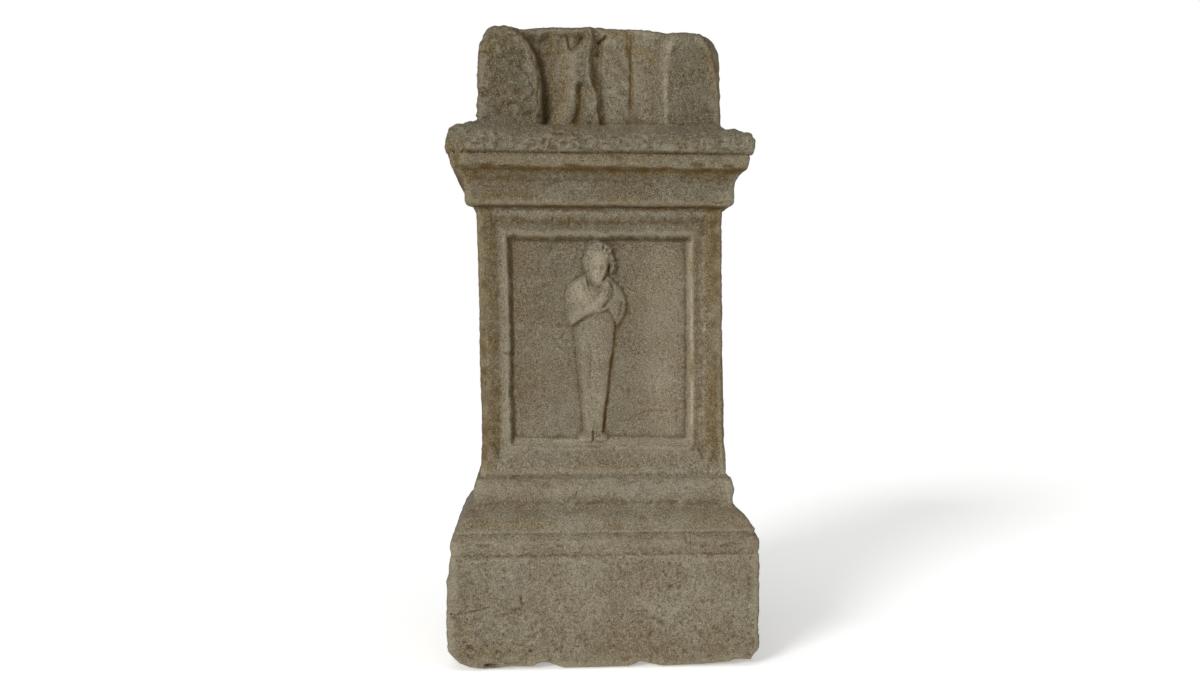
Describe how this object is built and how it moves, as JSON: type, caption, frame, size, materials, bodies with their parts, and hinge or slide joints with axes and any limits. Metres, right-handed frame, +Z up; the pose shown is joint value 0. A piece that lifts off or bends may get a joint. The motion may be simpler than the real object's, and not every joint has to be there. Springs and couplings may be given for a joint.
{
  "type": "votive altar",
  "caption": "Carved stone votive altar with plinth, moulded base, framed die with a cloaked figure in relief, cornice and broken crowning block with niche",
  "frame": {"origin": "middle of the underside, on the ground plane", "axes": "+Z up, front with the panel faces -Y, +X to the viewer's right"},
  "size_m": [0.508, 0.408, 1.0494],
  "materials": {
    "stone": "matt, dry, weathered sandy limestone, tooled and worn"
  },
  "bodies": {
    "root": {"votive_altar": "stone"}
  },
  "joints": []
}
